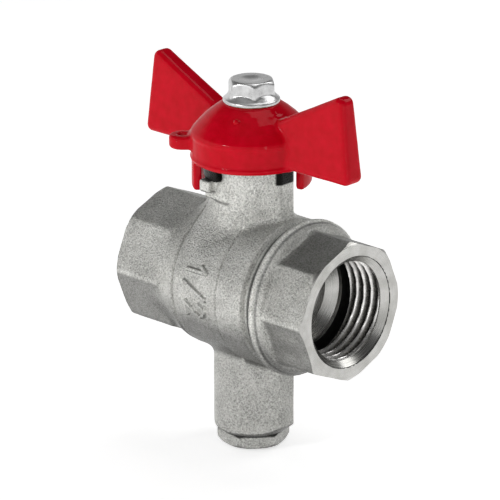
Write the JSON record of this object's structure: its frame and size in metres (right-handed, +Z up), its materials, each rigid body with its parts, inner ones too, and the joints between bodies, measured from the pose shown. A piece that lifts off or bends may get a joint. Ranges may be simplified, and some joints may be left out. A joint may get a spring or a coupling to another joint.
{
  "type": "three port ball valve",
  "caption": "Nickel plated three port ball valve with two threaded pipe ends, a plugged third branch and a red butterfly handle on a quarter turn stem.",
  "frame": {"origin": "centre of the ball, where the pipe axis crosses the stem axis", "axes": "+X along the pipe axis towards the screwed end cap, +Z up the stem towards the handle, -Z out of the third branch"},
  "size_m": [0.0516, 0.0296, 0.072],
  "materials": {
    "nickel_forging": "blasted nickel plate",
    "red_enamel": "gloss enamel",
    "zinc_steel": "bright zinc plate",
    "chrome_ball": "polished",
    "brass_stem": "turned",
    "ptfe": "satin",
    "black_rubber": "matte",
    "grey_gasket": "matte"
  },
  "bodies": {
    "valve_body": {"body": "nickel_forging", "end_cap": "nickel_forging", "cap_seal": "grey_gasket", "seat_left": "ptfe", "seat_right": "ptfe", "thrust_washer": "ptfe", "plug": "nickel_forging", "plug_seal": "grey_gasket"},
    "handle_and_stem": {"handle": "red_enamel", "handle_screw": "zinc_steel", "stem": "brass_stem", "stem_oring_lower": "black_rubber", "stem_oring_upper": "black_rubber"},
    "ball": {"ball": "chrome_ball"}
  },
  "joints": [
    {"name": "handle_turn", "type": "hinge", "parent": "valve_body", "child": "handle_and_stem", "pos_m": [0, 0, 0], "axis": [0, 0, 1], "range_deg": [-90, 0]},
    {"name": "ball_turn", "type": "hinge", "parent": "valve_body", "child": "ball", "pos_m": [0, 0, 0], "axis": [0, 0, 1], "range_deg": [-90, 0]}
  ],
  "couplings": [
    {"joint": "ball_turn", "follows": "handle_turn", "ratio": 1}
  ]
}
